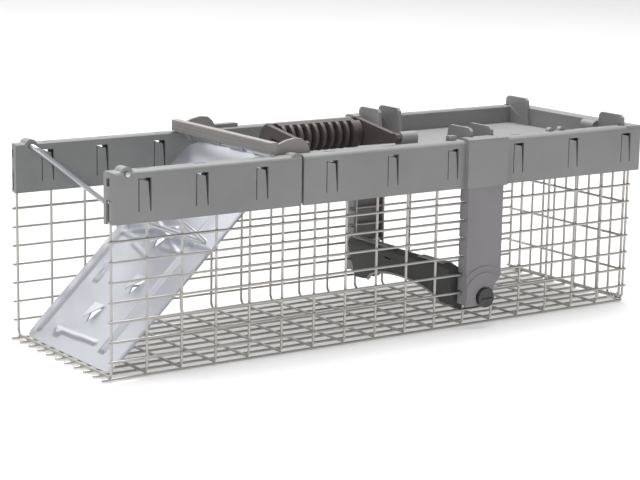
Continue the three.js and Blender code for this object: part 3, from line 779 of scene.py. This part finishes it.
@dataclass
class Door:
    """The pressed sheet door on its rod. Door coordinates: u from the hinge, v across."""

    half: float = 58.5
    neck: float = 57.1
    shoulder: float = 10.0
    shoulder_run: float = 6.0
    corner: float = 6.0
    corner_inset: float = 4.0
    lip_stop: float = 3.0  # how far above the lower corners the lips end
    middle: float = 40.0  # half width of the stretch that the corner cuts leave alone
    lip: float = 0.7
    fold: float = 1.6
    sheet: float = 0.9
    cell: float = 1.25
    curl: float = 3.3
    curl_gap: float = 0.2
    curl_sides: int = 28
    bore: float = 2.3
    burr: float = 0.15
    flare: float = 1.6  # how fast the shoulders widen, across per length
    knuckles: tuple[tuple[float, float], ...] = ((-57.1, -22.0), (-8.0, 8.0), (22.0, 57.1))
    lances: tuple[Lance, ...] = (Lance(150, 6), Lance(121, -13), Lance(86, 1, 12, 11))

    def place(self) -> Matrix:
        """Finds where the door lies.

        Returns:
            The placement of door coordinates: +X down the door, -Z out of its face.
        """
        hinge = pivot_mm("door_hinge")
        low, _ = box_mm("door_panel")
        tilt = math.atan2(hinge.z - low.z, hinge.x - low.x)
        return Matrix.Translation((hinge.x, 0, hinge.z)) @ Matrix.Rotation(math.pi - tilt, 4, "Y")

    def reach(self) -> float:
        """Finds how long the door is.

        Returns:
            The distance from its hinge to its lower edge.
        """
        hinge = pivot_mm("door_hinge")
        low, _ = box_mm("door_panel")
        return math.hypot(hinge.z - low.z, hinge.x - low.x) - self.sheet

    @staticmethod
    def beads() -> list[Bead]:
        """Lists the pressed beads.

        Returns:
            The beads, in door coordinates.
        """
        far, near = 48.0, -34.0
        return [
            Bead((30, far), (174, far), width=6.0),
            Bead((30, near - 1.9), (171, near - 1.9), width=3.6),
            Bead((30, near + 1.9), (171, near + 1.9), width=3.6),
            Bead((170, 30), (168, -21), width=4.0, height=0.9),
            Bead((114, 31), (128, 30), width=3.0, height=0.9),
            Bead((114, 34.5), (128, 33.5), width=3.0, height=0.9),
            Bead((73, 18), (89, -26.5), width=4.6),
            Bead((73, -6), (88, 48), width=4.6),
            Bead((88, 48), (89, 27.5), width=4.0, height=0.9),
            Bead((93, 26), (99, 2), width=4.0, height=0.8),
            Bead((89, -6), (89, -27), width=4.0, height=0.9),
            Bead((172, 24), (172, 27), width=6.4, height=1.3),
        ]

    def build(self) -> None:
        """Builds the door panel and its rod."""
        self.panel()
        self.rod()

    def panel(self) -> None:
        """Builds the panel: a folded grid with beads and lances, thickened, on a curled hinge."""
        reach = self.reach()
        start = self.curl + self.curl_gap
        folded = self.half + self.lip
        piece = Workpiece()
        bm = piece.bm
        columns = round((reach - start) / self.cell)
        rows = round(2 * folded / self.cell)
        place = Matrix.Translation(((start + reach) / 2, 0, 0))
        place @= Matrix.Diagonal(((reach - start) / 2, folded, 1, 1))
        bmesh.ops.create_grid(bm, x_segments=columns, y_segments=rows, size=1.0, matrix=place)
        self._trim(bm, reach)
        for lance in self.lances:
            self._open(bm, lance)
        bmesh.ops.solidify(bm, geom=bm.faces[:], thickness=self.sheet)
        base = min(vert.co.z for vert in bm.verts)
        beads = self.beads()
        for vert in bm.verts:
            u, v = vert.co.x, vert.co.y
            vert.co.z -= base + max(bead.rise(u, v) for bead in beads)
            self._fold(vert)
        for lance in self.lances:
            self._tongue(piece, lance)
        for low, high in self.knuckles:
            self._knuckle(piece, low, high)
        bmesh.ops.recalc_face_normals(bm, faces=bm.faces)
        bmesh.ops.transform(bm, matrix=self.place(), verts=bm.verts)
        piece.finish("pressed_door", "door", SHEET, ["door_panel"], crease=40)

    def _trim(self, bm: bmesh.types.BMesh, reach: float) -> None:
        """Cuts the notched top corners, the ends of the lips and the lower corners.

        Args:
            bm: The door's grid.
            reach: Length of the door.
        """
        edge = self.half - self.fold
        full = self.shoulder + self.shoulder_run
        low = reach - self.corner
        for side in (-1, 1):
            self._slice(bm, (self.shoulder, side * self.neck), (full, side * self.half), side)
            self._slice(bm, (low, side * self.half), (reach, side * (edge - self.corner_inset)), side)
        doomed = []
        for face in bm.faces:
            u, v = face.calc_center_median().xy
            beyond = abs(v) > edge and (u < full or u > low - self.lip_stop)
            neck = abs(v) > self.neck and u < self.shoulder
            slope = u < full and abs(v) > self.neck + (u - self.shoulder) * self.flare
            lower = u > low and abs(v) > self.half - (u - reach + self.corner)
            if beyond or neck or slope or lower:
                doomed.append(face)
        bmesh.ops.delete(bm, geom=doomed, context="FACES")

    def _slice(
        self, bm: bmesh.types.BMesh, a: tuple[float, float], b: tuple[float, float], side: int
    ) -> None:
        """Divides the faces of one side along a line.

        Args:
            bm: The door's grid.
            a: A point on the line.
            b: Another point on the line.
            side: -1 for the near side, 1 for the far side.
        """
        way = Vector((b[0] - a[0], b[1] - a[1], 0))
        normal = Vector((way.y, -way.x, 0)).normalized()
        near = [f for f in bm.faces if f.calc_center_median().y * side > self.middle]
        geom = {item for face in near for item in (*face.verts, *face.edges, face)}
        bmesh.ops.bisect_plane(bm, geom=list(geom), plane_co=(*a, 0), plane_no=normal)

    @staticmethod
    def _corners(lance: Lance) -> list[Vector]:
        """Returns the base corners and the point of a lance."""
        return [
            Vector((lance.u - lance.length / 2, lance.v - lance.width / 2, 0)),
            Vector((lance.u - lance.length / 2, lance.v + lance.width / 2, 0)),
            Vector((lance.u + lance.length / 2, lance.v, 0)),
        ]

    def _open(self, bm: bmesh.types.BMesh, lance: Lance) -> None:
        """Cuts the opening that a lance leaves.

        Args:
            bm: The door's grid.
            lance: The lance.
        """
        corners = self._corners(lance)
        centre = sum(corners, Vector()) / 3
        for a, b in zip(corners, corners[1:] + corners[:1]):
            near = [f for f in bm.faces if (f.calc_center_median() - centre).length < lance.length]
            geom = {item for face in near for item in (*face.verts, *face.edges, face)}
            normal = Vector((b.y - a.y, a.x - b.x, 0)).normalized()
            bmesh.ops.bisect_plane(bm, geom=list(geom), plane_co=a, plane_no=normal)
        inside = [f for f in bm.faces if self._within(f.calc_center_median(), corners)]
        bmesh.ops.delete(bm, geom=inside, context="FACES")

    @staticmethod
    def _within(point: Vector, corners: Sequence[Vector]) -> bool:
        """Tells whether a point lies inside a triangle.

        Args:
            point: The point.
            corners: The triangle's corners.

        Returns:
            True if it does.
        """
        pairs = zip(corners, [*corners[1:], corners[0]])
        turns = [(b - a).cross(point - a).z for a, b in pairs]
        return all(turn > 0 for turn in turns) or all(turn < 0 for turn in turns)

    def _tongue(self, piece: Workpiece, lance: Lance) -> None:
        """Adds the bent-out tongue of a lance.

        Args:
            piece: The door.
            lance: The lance.
        """
        a, b, tip = self._corners(lance)
        verts = piece.plate([a.xy, b.xy, tip.xy], "XY", (-self.sheet, 0.0), self.burr)
        angle = math.asin(lance.lift / lance.length)
        turn = Matrix.Translation(a) @ Matrix.Rotation(angle, 4, "Y") @ Matrix.Translation(-a)
        bmesh.ops.transform(piece.bm, matrix=turn, verts=verts)

    def _fold(self, vert: BMVert) -> None:
        """Folds a point of the sheet's side margins down into the lips, round a small bend.

        Args:
            vert: The point.
        """
        edge = self.half - self.fold
        past = abs(vert.co.y) - edge
        if past <= 0:
            return
        side = math.copysign(1, vert.co.y)
        turn = min(past / self.fold, math.pi / 2)
        straight = max(0.0, past - self.fold * math.pi / 2)
        radius = self.fold - vert.co.z
        vert.co.y = side * (edge + radius * math.sin(turn))
        vert.co.z = self.fold - radius * math.cos(turn) + straight

    def _knuckle(self, piece: Workpiece, low: float, high: float) -> None:
        """Adds a stretch of the curl that wraps the hinge rod."""
        ring = [(self.bore, low), (self.curl, low), (self.curl, high), (self.bore, high)]
        piece.lathe(ring, lay_across(), self.curl_sides)

    def rod(self) -> None:
        """Builds the hinge rod, with upset ends."""
        low, high = box_mm("door_hinge_rod")
        middle = (low + high) / 2
        radius = (high.z - low.z) / 2
        piece = Workpiece()
        piece.wire([(middle.x, low.y, middle.z), (middle.x, high.y, middle.z)], radius, sides=20)
        piece.finish("hinge_rod", "door", ROUND_WIRE, ["door_hinge_rod"])


@dataclass
class SetLever:
    """The lever across the front of the top that holds the door open."""

    soft: float = 0.45
    rib: float = 0.55
    ribs: int = 3
    sunk: float = 0.6  # depth of a rib's middle behind the lever's face, in rib radii
    margin: float = 3.0
    foot: float = 4.0  # height of the bar's lower edge over the hinge

    def build(self) -> None:
        """Builds the lever with the ribs along its bar."""
        low, high = box_mm("set_lever")
        hinge = pivot_mm("door_hinge")
        piece = Workpiece()
        piece.copy_node("set_lever", self.soft)
        foot = hinge.z + self.foot
        step = (high.z - foot) / (self.ribs + 1)
        x = low.x + self.rib * self.sunk
        for index in range(self.ribs):
            z = foot + (index + 1) * step
            ends = [(x, y, z) for y in (low.y + self.margin, high.y - self.margin)]
            piece.wire(ends, self.rib, sides=8)
        piece.finish("lever_skin", "door", LEVER, ["set_lever"])


@dataclass
class LockBail:
    """The bent wire that drops across the outside of the door and locks it shut."""

    half: float = 56.5
    bend: float = 5.0

    def build(self) -> None:
        """Builds the bail in one piece of round wire."""
        low, high = box_mm("lock_bail")
        pivot = pivot_mm("bail_hinge")
        radius = high.z - pivot.z
        bar_x, bar_z = high.x - radius, low.z + radius
        outline = [
            (pivot.x, low.y, pivot.z),
            (pivot.x, -self.half, pivot.z),
            (bar_x, -self.half, bar_z),
            (bar_x, self.half, bar_z),
            (pivot.x, self.half, pivot.z),
            (pivot.x, high.y, pivot.z),
        ]
        piece = Workpiece()
        piece.wire(outline, radius, self.bend, sides=16)
        piece.finish("bail_wire", "lock_bail", ROUND_WIRE, ["lock_bail"])


# ---------------------------------------------------------------- treadle and linkage
@dataclass
class Treadle:
    """The trip treadle, its pivot knobs and the linkage up to the lever."""

    soft: float = 0.5
    knob_soft: float = 0.35
    sheet_soft: float = 0.2
    rod_soft: float = 0.3
    pin_soft: float = 0.15
    lips: tuple[tuple[float, float], ...] = ((14.0, 59.0), (-52.0, -22.0))
    lip_soft: float = 0.3
    crest_back: float = 6.6  # from the treadle's front to the crest
    crest_section: tuple[tuple[float, float], ...] = (
        (-4.4, -2.0), (-4.4, 0.5), (1.6, 0.5), (5.2, -1.5), (4.6, -2.6), (0.4, -1.6),
    )
    rim: float = 1.0
    arch_steps: int = 18
    arch_half: float = 43.2
    arch_foot: float = 12.0
    arch_rise: float = 13.4
    toe: float = 14.0
    front_foot: float = 59.6
    front_slope: float = 0.3
    leg_size: Point = (6.0, 24.0, 3.6)
    leg_at: Point = (61.5, -25.0, 24.5)
    leg_lean: float = 10.0
    leg_soft: float = 0.8

    def build(self) -> None:
        """Builds the treadle, the knobs and the linkage."""
        refine("treadle", "treadle", TREAD, self.soft)
        self.crest()
        self.leg()
        for name, _ in SIDES:
            refine(name + "_pivot_knob", "treadle", DARK, self.knob_soft)
        refine("trigger_link", "trigger_link", SHEET, self.sheet_soft)
        refine("latch_rocker", "latch_rocker", SHEET, self.sheet_soft)
        refine("latch_rod", "latch_rod", ROUND_WIRE, self.rod_soft)
        refine("rocker_pin", "frame", ROUND_WIRE, self.pin_soft)

    def crest(self) -> None:
        """Builds the lip along the tread's crest and the rim of its arch, both lighter than the tread:
        painted highlight.
        """
        low, high = box_mm("treadle")
        outline = [(low.x + self.crest_back + x, high.z + z) for x, z in self.crest_section]
        piece = Workpiece()
        for limits in self.lips:
            piece.plate(outline, "XZ", limits, self.lip_soft)
        piece.wire(self.arch(), self.rim, sides=8)
        piece.finish("treadle_rim", "treadle", EDGE)

    def arch(self) -> list[Point]:
        """Draws the edge of the treadle's mouth, on its sloping front.

        Returns:
            Points along the edge.
        """
        points = []
        for step in range(1, self.arch_steps):
            turn = step * math.pi / self.arch_steps
            z = self.arch_foot + self.arch_rise * math.sin(turn)
            x = self.front_foot - self.front_slope * (z - self.toe)
            points.append((x, self.arch_half * math.cos(turn), z))
        return points

    def leg(self) -> None:
        """Builds the leaning leg behind the mouth, lighter than the tread: painted highlight."""
        piece = Workpiece()
        half = Vector(self.leg_size) / 2
        verts = piece.slab(-half, half, self.leg_soft)
        lean = Matrix.Rotation(math.radians(self.leg_lean), 4, "X")
        bmesh.ops.transform(piece.bm, matrix=Matrix.Translation(self.leg_at) @ lean, verts=verts)
        piece.finish("treadle_leg", "treadle", EDGE)


# ---------------------------------------------------------------- carrying handle
@dataclass
class CarryHandle:
    """The folding handle: a ribbed grip between two arms."""

    soft: float = 0.4

    def build(self) -> None:
        """Builds the handle."""
        refine("carry_handle", "handle", GRIP, self.soft)


# ---------------------------------------------------------------- studio
@dataclass
class Studio:
    """A pale floor, soft lights and the camera."""

    floor_size: float = 16.0
    floor_tone: float = 0.5
    floor_roughness: float = 0.9
    floor_glow: float = 0.42
    floor_drop: float = 0.5
    ambient: float = 0.32
    sensor: float = 36.0
    clip_range: tuple[float, float] = (0.05, 60.0)
    lens: float = 110.46
    place: Point = (-786.3, -1106.7, 330.7)
    heading: float = 34.9
    tilt: float = 11.4
    roll: float = 1.0

    def build(self) -> None:
        """Builds the floor, the lights, the surroundings and the camera."""
        self.floor()
        self.softbox("overhead", (0.3, 0.4, 2.6), (1.8, 1.8), 112.0)
        self.softbox("behind", (0.2, 3.0, 1.9), (3.4, 1.6), 20.0)
        self.softbox("front", (-2.4, -1.2, 1.5), (1.6, 1.6), 12.0)
        self.surroundings()
        self.camera()

    def floor(self) -> None:
        """Builds the plain pale floor."""
        bm = bmesh.new()
        bmesh.ops.create_grid(bm, x_segments=4, y_segments=4, size=self.floor_size / 2)
        mesh = bpy.data.meshes.new("floor")
        bm.to_mesh(mesh)
        bm.free()
        material = bpy.data.materials.new("pale_floor")
        material.use_nodes = True
        shader = material.node_tree.nodes["Principled BSDF"]
        shader.inputs["Base Color"].default_value = (*(self.floor_tone,) * 3, 1)
        shader.inputs["Roughness"].default_value = self.floor_roughness
        shader.inputs["Emission Color"].default_value = (1, 1, 1, 1)
        shader.inputs["Emission Strength"].default_value = self.floor_glow
        mesh.materials.append(material)
        floor = bpy.data.objects.new("floor", mesh)
        floor.location.z = -self.floor_drop * MM
        bpy.context.scene.collection.objects.link(floor)

    @staticmethod
    def softbox(name: str, at: Point, size: tuple[float, float], power: float) -> None:
        """Adds a soft light that faces the trap.

        Args:
            name: Name of the light.
            at: Its place, in metres.
            size: Its width and height, in metres.
            power: Its power, in watts.
        """
        data = bpy.data.lights.new(name, "AREA")
        data.shape = "RECTANGLE"
        data.size, data.size_y = size
        data.energy = power
        light = bpy.data.objects.new(name, data)
        light.location = at
        light.rotation_euler = (-Vector(at)).to_track_quat("-Z", "Y").to_euler()
        light.visible_camera = False
        bpy.context.scene.collection.objects.link(light)

    def surroundings(self) -> None:
        """Sets an even pale light all round."""
        world = bpy.data.worlds.new("studio")
        world.use_nodes = True
        back = world.node_tree.nodes["Background"]
        back.inputs["Color"].default_value = (1.0, 1.0, 1.0, 1)
        back.inputs["Strength"].default_value = self.ambient
        bpy.context.scene.world = world
        bpy.context.scene.view_settings.view_transform = "Standard"

    def camera(self) -> None:
        """Places the camera."""
        data = bpy.data.cameras.new("camera")
        data.lens = self.lens
        data.sensor_width = self.sensor
        data.clip_start, data.clip_end = self.clip_range
        camera = bpy.data.objects.new("camera", data)
        turn = Matrix.Rotation(math.radians(-self.heading), 4, "Z")
        turn @= Matrix.Rotation(math.radians(90 - self.tilt), 4, "X")
        turn @= Matrix.Rotation(math.radians(self.roll), 4, "Z")
        camera.matrix_world = Matrix.Translation(Vector(self.place) * MM) @ turn
        bpy.context.scene.collection.objects.link(camera)
        bpy.context.scene.camera = camera


def main() -> None:
    """Builds the trap's looks, sub-assembly by sub-assembly."""
    logging.basicConfig(level=logging.INFO, format="%(name)s %(message)s")
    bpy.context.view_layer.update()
    Studio().build()
    Cage().build()
    MouldedTop().build()
    Door().build()
    SetLever().build()
    LockBail().build()
    Treadle().build()
    CarryHandle().build()


if __name__ == "__main__":
    main()
